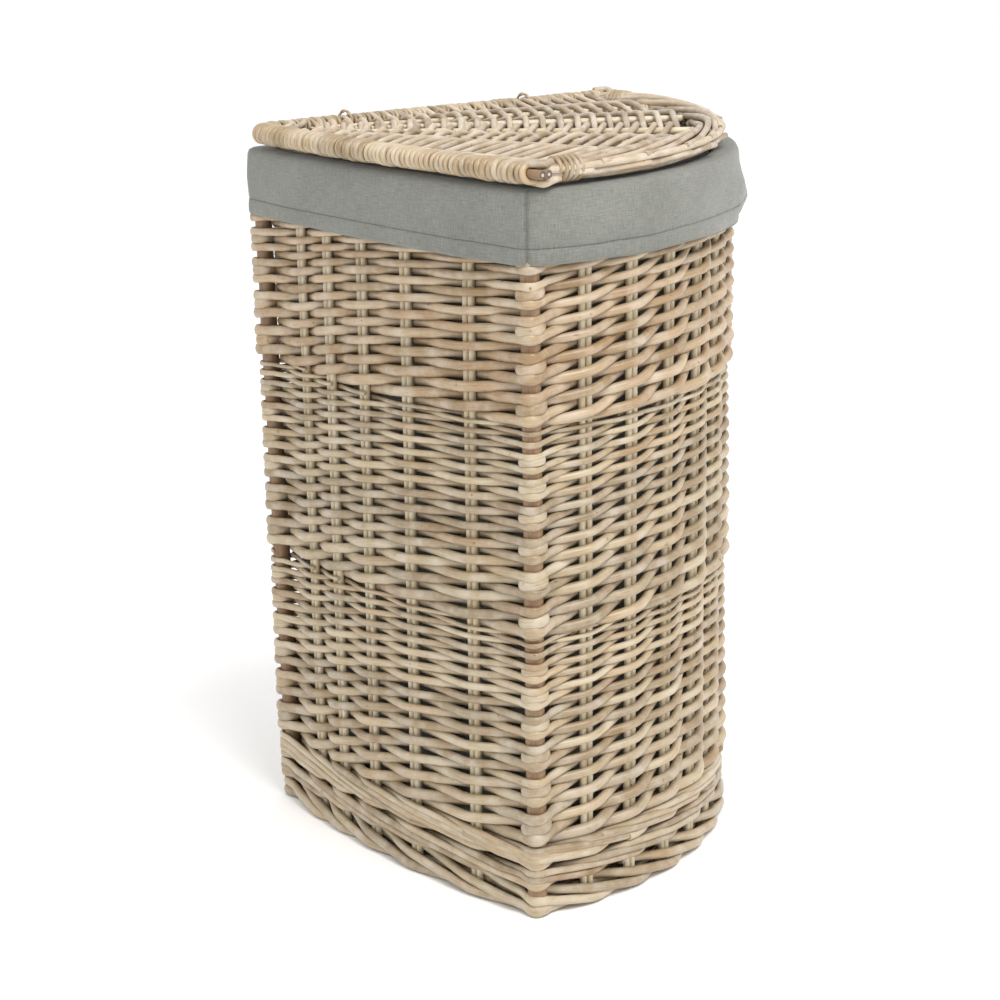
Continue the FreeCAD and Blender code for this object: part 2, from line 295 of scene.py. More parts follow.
wall = {
    "stakeRadius": 2.9 * mm,
    "postRadius": 7.3 * mm,
    "hug": 0.95,              # how closely a rod lies on the stakes it passes
    "postHug": 0.9,
    "pairHalf": 7.0 * mm,     # a rod runs straight across this half width of a pair of stakes
    "cornerHalf": 1.0 * mm,
    "cornerPoint": 1.30,      # how far the bend's control point stands out at a corner
    "cornerSwell": 1.2,       # a pressed rod spreads this much
    "pressed": 0.50,          # rods are pressed this flat where they bend round a post
    "pressedTo": 16 * mm,
    "pressFades": 30 * mm,
    "wrapSteps": 5,           # a short wrap round a post: steps each way, their turn and their rise
    "wrapTurn": math.radians(32.0),
    "wrapLift": 0.12,
    "wrapOut": 1.05,
    "wrapSize": 1.12,
    "wrapEvery": 4,           # layers
}


def frontReach(index, radius):
    if stations[index % count].isPost:
        return wall["postRadius"] + radius * wall["postHug"]
    return wall["stakeRadius"] + radius * wall["hug"]


def passUpright(index, height, radius, reach, climb=0.0):
    # control points of a rod where it passes one upright, this far outside its middle;
    # climb is how far the rod rises from one upright to the next
    station = stations[index % count]
    middle = station.at(height)
    if not station.isPost:
        half = wall["pairHalf"]
        rise = up * climb * half / station.gap
        return [(middle + station.out * reach - station.way * half - rise, radius),
                (middle + station.out * reach + station.way * half + rise, radius)]
    half = wall["cornerHalf"] if reach > 0 else 2 * wall["cornerHalf"]
    swollen = radius * wall["cornerSwell"] if reach > 0 else radius
    return [(middle + station.outIn * reach - station.wayIn * half, radius),
            (middle + station.out * reach * wall["cornerPoint"], swollen),
            (middle + station.outOut * reach + station.wayOut * half, radius)]


def pressCorners(piece):
    # flattens the rods where they are bent tightly round the corner posts
    posts = [station for station in stations if station.isPost]
    for vertex in piece.data.vertices:
        for post in posts:
            middle = post.at(vertex.co.z)
            away = vertex.co - middle
            far = away.length
            if wall["postRadius"] < far < wall["pressFades"]:
                fade = (far - wall["pressedTo"]) / (wall["pressFades"] - wall["pressedTo"])
                fade = min(max(fade, 0.0), 1.0)
                keep = wall["pressed"] + (1 - wall["pressed"]) * fade * fade * (3 - 2 * fade)
                vertex.co = middle + away * (wall["postRadius"] + (far - wall["postRadius"]) * keep) / far


def postWrap(index, height, radius):
    # one turn of rod round a corner post, its ends tucked inside
    station = stations[index % count]
    middle = station.at(height)
    reach = frontReach(index, radius)
    turn = []
    for step in range(-wall["wrapSteps"], wall["wrapSteps"] + 1):
        angle = step * wall["wrapTurn"]
        lift = step * wall["wrapLift"] * radius
        way = station.out * math.cos(angle) + station.way * math.sin(angle)
        turn.append((middle + way * reach * wall["wrapOut"] + up * lift, radius))
    return turn


def layerHeights(band):
    # diameters and heights of a band's layers: thick butts low down, then thin tips on top
    total = band["layers"]
    tips = band["tipLayers"]
    diameters = []
    for layer in range(total - tips):
        share = layer / (total - tips - 1)
        diameters.append(band["butt"] + (band["top"] - band["butt"]) * share ** band["taper"])
    for layer in range(tips):
        share = (layer + 1) / tips
        diameters.append(band["top"] + (band["tip"] - band["top"]) * share)
    spread = sum(diameters)
    heights = []
    height = band["low"]
    for diameter in diameters:
        step = (band["high"] - band["low"]) * diameter / spread
        heights.append(height + step / 2)
        height += step
    return heights, diameters


def weaveBand(name, band, seed):
    # randing: one rod from every space, in front of one upright and behind the next, rising as it goes
    luck = random.Random(seed)
    heights, diameters = layerHeights(band)
    rods = []
    for start in range(count):
        size = luck.uniform(0.94, 1.06)
        lift = luck.uniform(-0.5, 0.5) * mm
        ending = band["layers"] - luck.randrange(3)
        points = []
        for layer in range(ending):
            index = start + layer
            radius = diameters[layer] * size * luck.uniform(0.97, 1.03) / 2
            height = heights[layer] + lift + luck.uniform(-0.3, 0.3) * mm
            reach = frontReach(index, radius) * (1 if layer % 2 else -1)
            points += passUpright(index, height, radius, reach, diameters[layer])
        first, radius = points[0]
        points[0] = (first - stations[start % count].way * luck.uniform(3, 9) * mm, radius)
        rods.append(points)
    for index, station in enumerate(stations):
        if station.isPost:
            for layer in range(2, band["layers"] - band["tipLayers"], wall["wrapEvery"]):
                rods.append(postWrap(index, heights[layer], diameters[layer] / 2 * wall["wrapSize"]))
    piece = makeRods(name + "_rods", rods, "root", [name], band["willow"], seed, sides=10)
    pressCorners(piece)


# sink and rise lap each band a little over the tips below and the butts above
bands = {
    "rand_lower": {"butt": 8.7 * mm, "top": 4.8 * mm, "tip": 2.6 * mm, "layers": 30, "tipLayers": 5,
                   "taper": 0.9, "sink": 5 * mm, "rise": 5 * mm, "willow": wallWillow},
    "rand_middle": {"butt": 8.3 * mm, "top": 4.7 * mm, "tip": 2.6 * mm, "layers": 30, "tipLayers": 5,
                    "taper": 0.9, "sink": 3 * mm, "rise": 5 * mm, "willow": wallWillow},
    "rand_upper": {"butt": 8.4 * mm, "top": 5.4 * mm, "tip": 3.2 * mm, "layers": 26, "tipLayers": 3,
                   "taper": 0.9, "sink": 3 * mm, "rise": 0.0, "willow": tanWillow},
}
for seed, (name, band) in enumerate(bands.items(), 11):
    low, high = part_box(name)
    band["low"] = low.z - band["sink"]
    band["high"] = high.z + band["rise"]
    weaveBand(name, band, seed)
print("bands woven")

uprights = {
    "sway": 0.35 * mm,        # how far the weave pushes a stake in and out
    "every": 24 * mm,         # between control points
}


def makeUpright(station, seed):
    luck = random.Random(seed)
    radius = wall["postRadius"] if station.isPost else wall["stakeRadius"]
    ways = (0.0,) if station.isPost else (-1.0, 1.0)
    rods = []
    for way in ways:
        size = luck.uniform(0.94, 1.03)
        total = round((station.top.z - station.foot.z) / uprights["every"])
        points = []
        for step in range(total + 1):
            place = station.foot.lerp(station.top, step / total)
            place += station.way * way * (radius + 0.1 * mm)
            sway = Vector((luck.uniform(-1, 1), luck.uniform(-1, 1), 0)) * uprights["sway"]
            points.append((place + sway * (0 < step < total), radius * size * (1 - 0.06 * step / total)))
        rods.append(points)
    slot, material = ("post_stick", postWillow) if station.isPost else ("stake_rod", stakeWillow)
    makeRods(station.node + "_stick", rods, "root", [station.node], material, seed)


for seed, station in enumerate(stations, 40):
    makeUpright(station, seed)
print("uprights set")

upsett = {
    "radius": 2.8 * mm,
    "rows": 2.4,
    "rodSpans": 15,           # uprights that one rod reaches before the next is laid in
    "falls": (0.34, 0.02, -0.30, 0.0),     # parts of a row's height: in front three times, then behind
}


def weaveUpsett(seed=5):
    # four-rod wale: each rod passes in front of three uprights and behind the fourth, falling as it goes
    luck = random.Random(seed)
    low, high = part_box("upsett_wale")
    pitch = (high.z - low.z) / upsett["rows"]
    falls = upsett["falls"]
    lanes = len(falls)
    rods = []
    for lane in range(lanes):
        at = -lane
        last = round(upsett["rows"] * count) - lane
        while at < last:
            spans = min(upsett["rodSpans"] + luck.choice((0, 2, 4)), last - at)
            points = []
            for step in range(spans + 2):
                index = at + step
                phase = (index + lane) % lanes
                row = min(max(index / count, 0.0), upsett["rows"] - 1.0)
                height = low.z + pitch * (row + 0.5 + falls[phase]) + luck.uniform(-0.4, 0.4) * mm
                radius = upsett["radius"] * (1.15 - 0.3 * step / (spans + 1)) * luck.uniform(0.96, 1.04)
                behind = phase == lanes - 1
                reach = frontReach(index, radius) * (-1 if behind else 1)
                points += passUpright(index, height, radius, reach, pitch * (0.6 if behind else -0.32))
            rods.append(points)
            at += spans
    piece = makeRods("upsett_wale_rods", rods, "root", ["upsett_wale"], wallWillow, seed,
                     sides=10)
    pressCorners(piece)


weaveUpsett()

foot = {
    "radius": 3.7 * mm,
    # each stroke: uprights on from its start, height, reach outside the wall's middle, and climb
    "stroke": [(0, 21.0 * mm, -3.0 * mm, -7.0 * mm), (1, 12.6 * mm, 6.2 * mm, -8.0 * mm),
               (2, 5.0 * mm, 7.4 * mm, -4.0 * mm), (3, 4.0 * mm, -3.0 * mm, 0.0)],
}


def makeFoot(seed=7):
    # rolled border: every upright's rod turns down and runs along under the wall for two uprights
    luck = random.Random(seed)
    rods = []
    for start in range(count):
        points = []
        for step, height, reach, climb in foot["stroke"]:
            radius = foot["radius"] * luck.uniform(0.94, 1.05)
            lift = luck.uniform(-0.3, 0.6) * mm
            points += passUpright(start + step, height + lift, radius, reach, climb)
        rods.append(points)
    # a second rod inside keeps the border full
    for start in range(0, count, 2):
        points = []
        for step in range(5):
            height = (6.5 + 6.5 * (step % 2)) * mm
            points += passUpright(start + step, height, foot["radius"] * 0.9, -5.0 * mm)
        rods.append(points)
    piece = makeRods("foot_border_rods", rods, "root", ["foot_border"], wallWillow, seed,
                     sides=10)
    pressCorners(piece)


makeFoot()

rim = {"radius": 3.2 * mm, "strands": 3, "turn": 2, "out": 3.8 * mm, "lift": 2.6 * mm}


def makeRim(seed=9):
    # plaited rim under the cuff: three strands that turn about each other
    low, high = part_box("rim_border")
    middle = (low.z + high.z) / 2
    rods = []
    for strand in range(rim["strands"]):
        points = []
        for index in range(count + 1):
            angle = math.tau * (strand / rim["strands"] + index / rim["turn"] / 3)
            points += passUpright(index, middle + rim["lift"] * math.sin(angle), rim["radius"],
                                  rim["out"] * math.cos(angle))
        rods.append(points)
    makeRods("rim_border_rods", rods, "root", ["rim_border"], wallWillow, seed)


makeRim()
print("borders laid")


def linenCloth(name, low, high):
    # union cloth of linen and cotton, plain woven and dyed sage grey: matt, with slubs both ways and a
    # slightly lighter nap
    material = newMaterial(name)
    place = addNode(material, "ShaderNodeUVMap", {"uv_map": "cloth"})
    seam = addNode(material, "ShaderNodeAttribute", {"attribute_name": "seam"})
    # threads are 0.5 mm apart; drawn 0.9 mm apart so that they show
    warp = addNode(material, "ShaderNodeMapping", {"Scale": (1150.0, 120.0, 1.0)},
                   {"Vector": place.outputs["UV"]})
    weft = addNode(material, "ShaderNodeMapping", {"Scale": (95.0, 1150.0, 1.0)},
                   {"Vector": place.outputs["UV"]})
    warpSlubs = addNode(material, "ShaderNodeTexNoise", {"Scale": 1.0, "Detail": 3.0, "Roughness": 0.7},
                        {"Vector": warp.outputs["Vector"]})
    weftSlubs = addNode(material, "ShaderNodeTexNoise", {"Scale": 1.0, "Detail": 3.0, "Roughness": 0.7},
                        {"Vector": weft.outputs["Vector"]})
    threads = addNode(material, "ShaderNodeMath", {"operation": "ADD"},
                      {0: warpSlubs.outputs["Fac"], 1: weftSlubs.outputs["Fac"]})
    spread = addNode(material, "ShaderNodeMapRange", {1: 0.75, 2: 1.25, 3: 0.0, 4: 1.0},
                     {0: threads.outputs["Value"]})
    colour = addNode(material, "ShaderNodeMix", {"data_type": "RGBA", 6: linear(low), 7: linear(high)},
                     {0: spread.outputs["Result"]})
    # dye takes unevenly over stretches of about 60 mm
    cloudy = addNode(material, "ShaderNodeTexNoise", {"Scale": 16.0, "Detail": 3.0},
                     {"Vector": place.outputs["UV"]})
    cloudShade = addNode(material, "ShaderNodeValToRGB", {"stops": [(0.3, "#E4E4E2"), (0.7, "#FFFFFF")]},
                         {"Fac": cloudy.outputs["Fac"]})
    dyed = addNode(material, "ShaderNodeMix", {"data_type": "RGBA", "blend_type": "MULTIPLY", 0: 0.8},
                   {6: colour.outputs[2], 7: cloudShade.outputs["Color"]})
    # seams and stitch lines sit in a shadow 1.5 mm wide
    seamShade = addNode(material, "ShaderNodeMapRange", {1: 0.0, 2: 1.0, 3: 0.0, 4: 0.45},
                        {0: seam.outputs["Fac"]})
    seamed = addNode(material, "ShaderNodeMix", {"data_type": "RGBA", "blend_type": "MULTIPLY",
                                                 7: linear("#8A8C86")},
                     {0: seamShade.outputs["Result"], 6: dyed.outputs[2]})
    bump = addNode(material, "ShaderNodeBump", {"Strength": 0.35, "Distance": 0.0005},
                   {"Height": threads.outputs["Value"]})
    shader = addNode(material, "ShaderNodeBsdfPrincipled",
                     {"Roughness": 0.92, "Specular IOR Level": 0.2, "Sheen Weight": 0.25,
                      "Sheen Roughness": 0.5},
                     {"Base Color": seamed.outputs[2], "Normal": bump.outputs["Normal"]})
    addNode(material, "ShaderNodeOutputMaterial", links={"Surface": shader.outputs["BSDF"]})
    return material


linerLinen = linenCloth("union linen, sage grey", "#6C6E68", "#898A83")
linerThread = linenCloth("cotton thread, sage grey", "#74766F", "#83857D")

sides = ((0, 3, 6), (6, 12, 18), (18, 21, 24))     # first, middle and last station of each side of the wall
outlineSteps = {"flat": 34, "front": 64, "corner": 8, "round": 5 * mm}


def arcCentre(a, b, c):
    # middle of the circle through three places at one height
    double = 2 * (a.x * (b.y - c.y) + b.x * (c.y - a.y) + c.x * (a.y - b.y))
    squares = [p.x * p.x + p.y * p.y for p in (a, b, c)]
    x = (squares[0] * (b.y - c.y) + squares[1] * (c.y - a.y) + squares[2] * (a.y - b.y)) / double
    y = (squares[0] * (c.x - b.x) + squares[1] * (a.x - c.x) + squares[2] * (b.x - a.x)) / double
    return Vector((x, y, a.z))


def wallOutline(height, offset):
    # places round the wall at a height, this far outside its middle, and how near each is to a corner
    arcs = []
    for first, middle, last in sides:
        a, b, c = (stations[i % count].at(height) for i in (first, middle, last))
        centre = arcCentre(a, b, c)
        start = math.atan2(a.y - centre.y, a.x - centre.x)
        end = math.atan2(c.y - centre.y, c.x - centre.x)
        arcs.append((centre, (a - centre).length, start, start + (end - start) % math.tau, c))
    ring, corners = [], []
    for number, (centre, radius, start, end, post) in enumerate(arcs):
        before = arcs[number - 1]
        after = arcs[(number + 1) % len(arcs)]
        turnIn = (start - before[3]) % math.tau
        turnOut = (after[2] - end) % math.tau
        trims = [outlineSteps["round"] + max(0.0, -offset * math.tan(turn / 2)) for turn in (turnIn, turnOut)]
        begin = start + trims[0] / radius
        finish = end - trims[1] / radius
        steps = outlineSteps["front" if number == 1 else "flat"]
        for step in range(steps):
            angle = begin + (finish - begin) * step / (steps - 1)
            ring.append(centre + Vector((math.cos(angle), math.sin(angle), 0)) * (radius + offset))
            corners.append(0.0)
        lean = end + turnOut / 2
        tip = post + Vector((math.cos(lean), math.sin(lean), 0)) * offset / math.cos(turnOut / 2)
        nextTrim = outlineSteps["round"] + max(0.0, -offset * math.tan(turnOut / 2))
        nextAngle = after[2] + nextTrim / after[1]
        follow = after[0] + Vector((math.cos(nextAngle), math.sin(nextAngle), 0)) * (after[1] + offset)
        last = ring[-1]
        for step in range(1, outlineSteps["corner"]):
            share = step / outlineSteps["corner"]
            ring.append(last * (1 - share) ** 2 + tip * 2 * share * (1 - share) + follow * share ** 2)
            corners.append(1.0 if 2 * step == outlineSteps["corner"] else 0.0)
    return ring, corners


def pullSheet(rings):
    # a sheet that starts as one loop of edges and is pulled from ring to ring
    shape = bmesh.new()
    loop = [shape.verts.new(place) for place in rings[0]]
    edges = [shape.edges.new(pair) for pair in zip(loop, loop[1:] + loop[:1])]
    columns = {vertex: column for column, vertex in enumerate(loop)}
    allRings = [loop]
    for ring in rings[1:]:
        pulled = bmesh.ops.extrude_edge_only(shape, edges=edges)["geom"]
        fresh = {item for item in pulled if isinstance(item, bmesh.types.BMVert)}
        edges = [item for item in pulled if isinstance(item, bmesh.types.BMEdge)
                 and item.verts[0] in fresh and item.verts[1] in fresh]
        newColumns = {}
        for vertex in fresh:
            for edge in vertex.link_edges:
                other = edge.other_vert(vertex)
                if other in columns:
                    newColumns[vertex] = columns[other]
                    vertex.co = ring[columns[other]]
        columns = newColumns
        allRings.append(sorted(fresh, key=lambda vertex: newColumns[vertex]))
    return shape, allRings


def finishSheet(name, shape, rings, seams, material, replaced, thickness):
    # lays the sheet's flat pattern out as a UV map in metres, marks its seams, and gives it its thickness
    acrosses = [0.0]
    middle = rings[len(rings) // 2]
    for a, b in zip(middle, middle[1:] + middle[:1]):
        acrosses.append(acrosses[-1] + (b.co - a.co).length)
    flat, seamAmount = {}, {}
    down = 0.0
    shape.verts.index_update()
    for number, ring in enumerate(rings):
        if number:
            down += (ring[0].co - rings[number - 1][0].co).length
        for column, vertex in enumerate(ring):
            flat[vertex.index] = (acrosses[column], down)
            seamAmount[vertex.index] = max(seams["columns"][column], seams["rings"].get(number, 0.0))
    uv = shape.loops.layers.uv.new("cloth")
    seamLayer = shape.verts.layers.float.new("seam")
    for vertex in shape.verts:
        vertex[seamLayer] = seamAmount[vertex.index]
    for face in shape.faces:
        face.smooth = True
        widest = max(flat[loop.vert.index][0] for loop in face.loops)
        for loop in face.loops:
            across, length = flat[loop.vert.index]
            if widest - across > acrosses[-1] / 2:
                across += acrosses[-1]
            loop[uv].uv = (across, length)
    mesh = bpy.data.meshes.new(name)
    shape.to_mesh(mesh)
    shape.free()
    piece = finishPiece(name, mesh, "root", replaced, [material])
    solid = piece.modifiers.new("thickness", "SOLIDIFY")
    solid.thickness = thickness
    solid.offset = 0.0
    return piece, acrosses[-1], down


liner = {
    "thickness": 1.1 * mm,
    # the cuff from inside the rim, over it and down to the hem: mm outside the wall's middle, and height
    "cuff": [(-10.4, 538.0), (-10.4, 545.0), (-9.6, 548.6), (-7.0, 550.0), (0.0, 550.3), (6.5, 550.1),
             (9.0, 549.0), (10.2, 546.0), (10.6, 540.0), (10.8, 534.0), (11.0, 527.0), (11.1, 520.0),
             (11.1, 514.0), (11.0, 511.3), (10.3, 510.4), (11.2, 509.5), (11.6, 505.0), (11.6, 500.5),
             (11.1, 498.4), (10.2, 498.6), (10.0, 502.0)],
    "cuffTop": 548.0,
    "hem": 498.4,
    "stitchRing": 14,
    "stitchShade": 0.8,
    "frontFold": 7.0 * mm,    # how far the slack cloth stands off over the bowed front
    "sideFold": 1.8 * mm,
    "frontFrom": 55 * mm,     # the front's slack begins this far in front of the object's middle
    "frontFull": 50 * mm,     # and grows over this length
    "slackBy": 1.35,          # the slack is full before the hem
    "foldShares": (0.45, 1.3, 0.3),        # even slack, long folds, fine creases
    "foldScale": (17.0, 9.0, 0.034, 6.0),
    "creaseScale": (50.0, 0.05),
    "hemSway": 3.0 * mm,
    "swayScale": 14.0,
    "seamDip": 0.5 * mm,
    "stitch": {"length": 2.6 * mm, "every": 4.2 * mm, "radius": 0.38 * mm, "proud": 0.1 * mm, "dip": 0.6},
    "bagInset": -13.0 * mm,
    "bagHeights": [546.0, 538.0, 520.0, 490.0, 460.0, 430.0, 400.0, 370.0, 340.0, 310.0, 280.0, 250.0, 220.0,
                   190.0, 160.0, 130.0, 100.0, 75.0, 55.0, 38.0, 27.0, 22.8],
    "bagFold": 3.5 * mm,
    "bagTop": 546.0,
    "bagFullBy": 90.0,        # mm down from the top at which the bag hangs at its slackest
    "bagFoldShares": (0.4, 0.8, 0.5),
    "bagFoldScale": (16.0, 0.004),
    "bagCreaseScale": (34.0, 0.012),
    "floor": 22.0 * mm,
    "floorShares": (0.04, 0.10, 0.20, 0.32, 0.45, 0.58, 0.72, 0.86, 0.96),
    "floorSeamShade": 0.6,
    "floorRipple": 18.0,
}


def clamp(value):
    return min(max(value, 0.0), 1.0)


def makeCuff():
    rings = []
    even, long, fine = liner["foldShares"]
    scaleX, scaleY, scaleUp, lean = liner["foldScale"]
    creases, creasesUp = liner["creaseScale"]
    for offset, height in liner["cuff"]:
        ring, corners = wallOutline(height * mm, offset * mm)
        middle = sum(ring, Vector()) / len(ring)
        hang = clamp((liner["cuffTop"] - height) / (liner["cuffTop"] - liner["hem"]))
        loose = math.sin(min(hang * liner["slackBy"], 1.0) * math.pi / 2) if offset > 0 else 0.0
        for column, place in enumerate(ring):
            away = (place - middle).normalized()
            front = clamp((-place.y - liner["frontFrom"]) / liner["frontFull"])
            fold = liner["sideFold"] + (liner["frontFold"] - liner["sideFold"]) * front
            # slack runs in long soft folds that slant down along the front
            foldPlace = Vector((place.x * scaleX + place.y * scaleY, height * scaleUp + place.x * lean, 3.7))
            creasePlace = Vector((place.x * creases, place.y * creases, height * creasesUp))
            push = fold * loose * (even + long * noise.noise(foldPlace) + fine * noise.noise(creasePlace))
            swayPlace = Vector((place.x * liner["swayScale"], place.y * liner["swayScale"], 9.0))
            sway = liner["hemSway"] * front * hang * noise.noise(swayPlace)
            seamDip = liner["seamDip"] * corners[column] * (offset > 0)
            ring[column] = place + away * (max(push, 0.0) - seamDip) + up * sway
        rings.append(ring)
    shape, loops = pullSheet(rings)
    seams = {"columns": corners, "rings": {liner["stitchRing"]: liner["stitchShade"]}}
    piece, around, down = finishSheet("liner_cuff_cloth", shape, loops, seams, linerLinen, ["liner_cuff"],
                                      liner["thickness"])
    stitches = []
    stitch = liner["stitch"]
    row = rings[liner["stitchRing"]]
    gathered = 0.0
    for a, b in zip(row, row[1:] + row[:1]):
        length = (b - a).length
        way = (b - a) / length
        out = way.cross(up) * (liner["thickness"] / 2 + stitch["proud"])
        while gathered < length:
            start = a + way * gathered + out
            stitches.append([(start + way * stitch["length"] * share - out * stitch["dip"] * (share != 0.5),
                              stitch["radius"]) for share in (0.0, 0.5, 1.0)])
            gathered += stitch["every"]
        gathered -= length
    thread = makeRods("liner_hem_stitches", stitches, "root", None, linerThread, 3,
                      sides=4, steps=2)
    print(f"cuff {around:.3f} m round and {down:.3f} m deep")


def makeBag():
    rings = []
    even, long, fine = liner["bagFoldShares"]
    folds, foldsUp = liner["bagFoldScale"]
    creases, creasesUp = liner["bagCreaseScale"]
    luck = Vector((4.1, 0.0, 0.0))
    for height in liner["bagHeights"]:
        ring, corners = wallOutline(height * mm, liner["bagInset"])
        middle = sum(ring, Vector()) / len(ring)
        slack = clamp((liner["bagTop"] - height) / liner["bagFullBy"])
        for column, place in enumerate(ring):
            inwards = (middle - place).normalized()
            wave = noise.noise(Vector((place.x * folds, place.y * folds, height * foldsUp)) + luck)
            crease = abs(noise.noise(Vector((place.x * creases, place.y * creases, height * creasesUp))))
            push = liner["bagFold"] * slack * max(0.0, even + wave * long + crease * fine)
            ring[column] = place + inwards * push
        rings.append(ring)
    edge = rings[-1]
    middle = sum(edge, Vector()) / len(edge)
    for share in liner["floorShares"]:
        ring = []
        for place in edge:
            spot = place.lerp(middle, share)
            ripple = noise.noise(Vector((spot.x * liner["floorRipple"], spot.y * liner["floorRipple"], 2.0)))
            ring.append(Vector((spot.x, spot.y, liner["floor"] + max(0.0, ripple) * liner["bagFold"])))
        rings.append(ring)
    shape, loops = pullSheet(rings)
    lastLoop = set(loops[-1])
    hole = [edge for edge in shape.edges if edge.is_boundary and all(v in lastLoop for v in edge.verts)]
    bmesh.ops.holes_fill(shape, edges=hole, sides=0)
    seams = {"columns": corners, "rings": {len(liner["bagHeights"]) - 1: liner["floorSeamShade"]}}
    piece, around, down = finishSheet("liner_bag_cloth", shape, loops, seams, linerLinen, ["liner_bag"],
                                      liner["thickness"])


hinge = frame["joints"][0]
lidHeight = hinge["pos_m"][2]
backCorner = Vector((stations[0].top.x, stations[0].top.y, 0))
leftWay = Vector((-1, -1, 0)).normalized()
rightWay = Vector((1, -1, 0)).normalized()


def lidSpot(left, right, height):
    # a place measured from the back corner along the two flat sides, and up from the lid's middle
    return backCorner + leftWay * left + rightWay * right + up * (lidHeight + height)


def fanRibs(nodeNames):
    # angle from the left side, near end and far end of each rib that spreads from the back corner
    ribs = []
    for node in nodeNames:
        flat = []
        for vertex in nodes[node].data.vertices:
            away = vertex.co - backCorner
            flat.append((away.dot(leftWay), away.dot(rightWay)))
        left = sum(a for a, b in flat) / len(flat)
        right = sum(b for a, b in flat) / len(flat)
        reaches = [math.hypot(a, b) for a, b in flat]
        ribs.append((math.atan2(right, left), min(reaches), max(reaches)))
    return ribs


lid = {
    "edgeLine": -1.5 * mm,    # edge sticks, outside the wall's middle
    "stickRadius": 3.5 * mm,
    "stickGap": 0.05 * mm,
    "stickStart": 7.5 * mm,
    "stickEnds": (368.7 * mm, 367.0 * mm),
    "stickStagger": 0.8 * mm,
    "stickSteps": 12,
    "sideLength": 350 * mm,
    "sideBow": 9 * mm,        # the free flat edge bows outwards by this much
    "ribTip": 1.4 * mm,
    "ribEnd": 3.0 * mm,
    "ribGap": 0.1 * mm,
    "ribSteps": 8,
}


def edgeDrop(along, side):
    # how far an edge bows outwards; only the free left edge does
    if side:
        return 0.0
    half = lid["sideLength"] / 2
    return lid["sideBow"] * (1 - ((along - half) / half) ** 2)


def edgeSpot(side, along, inwards, height):
    # a place by one of the lid's flat edges: side 0 is the free left edge, side 1 the hinged right one
    across = lid["edgeLine"] - edgeDrop(along, side) + inwards
    return lidSpot(along, across, height) if side == 0 else lidSpot(across, along, height)


def makeLidSticks(side, node, seed):
    luck = random.Random(seed)
    rods = []
    end = lid["stickEnds"][side]
    for way in (-1, 1):
        points = []
        reach = end - way * lid["stickStagger"] - lid["stickStart"]
        aside = way * (lid["stickRadius"] + lid["stickGap"])
        for step in range(lid["stickSteps"] + 1):
            along = lid["stickStart"] + reach * step / lid["stickSteps"]
            place = edgeSpot(side, along, aside, luck.uniform(-0.2, 0.2) * mm)
            points.append((place, lid["stickRadius"] * luck.uniform(0.97, 1.0)))
        rods.append(points)
    makeRods(node + "_rods", rods, "lid", [node], postWillow, seed, sides=12,
             ends=(barkEnd, pith))


makeLidSticks(0, "lid_edge_sticks_left", 61)
makeLidSticks(1, "lid_edge_sticks_right", 62)


def lidFlat(angle, reach, aside=0.0):
    # left and right distances of a place at an angle and reach from the back corner
    return (reach * math.cos(angle) - aside * math.sin(angle),
            reach * math.sin(angle) + aside * math.cos(angle))


def makeRib(node, rib, seed):
    luck = random.Random(seed)
    angle, near, far = rib
    pair = []
    for way in (-1, 1):
        points = []
        for step in range(lid["ribSteps"] + 1):
            share = step / lid["ribSteps"]
            radius = lid["ribTip"] + (lid["ribEnd"] - lid["ribTip"]) * share
            reach = near + (far - near) * share
            aside = way * (radius + lid["ribGap"]) + luck.uniform(-0.3, 0.3) * mm
            left, right = lidFlat(angle, reach, aside)
            points.append((lidSpot(left, right, luck.uniform(-0.4, 0.4) * mm), radius))
        pair.append(points)
    makeRods(node + "_rods", pair, "lid", [node], stakeWillow, seed)


lidRibs = fanRibs([f"lid_rib_{n}" for n in range(1, 6)])
for number, rib in enumerate(lidRibs, 1):
    makeRib(f"lid_rib_{number}", rib, 70 + number)

weavers = {
    "radius": 2.65 * mm,
    "first": 22 * mm,         # first and last row, from the back corner
    "last": 337 * mm,
    "pitch": 6.6 * mm,
    "edgeStops": (-6 * mm, -1 * mm, 8 * mm),     # a rod's places across the edge sticks, from outside
    "edgeHug": 0.8,
    "edgeTuck": 1 * mm,
    "tipSize": 0.8,
    "leaves": 0.75,           # how much of its height a rod keeps where it leaves the edge sticks
    "ribHug": 0.85,
    "ribClear": 1 * mm,
    "pastRibs": 4 * mm,
}


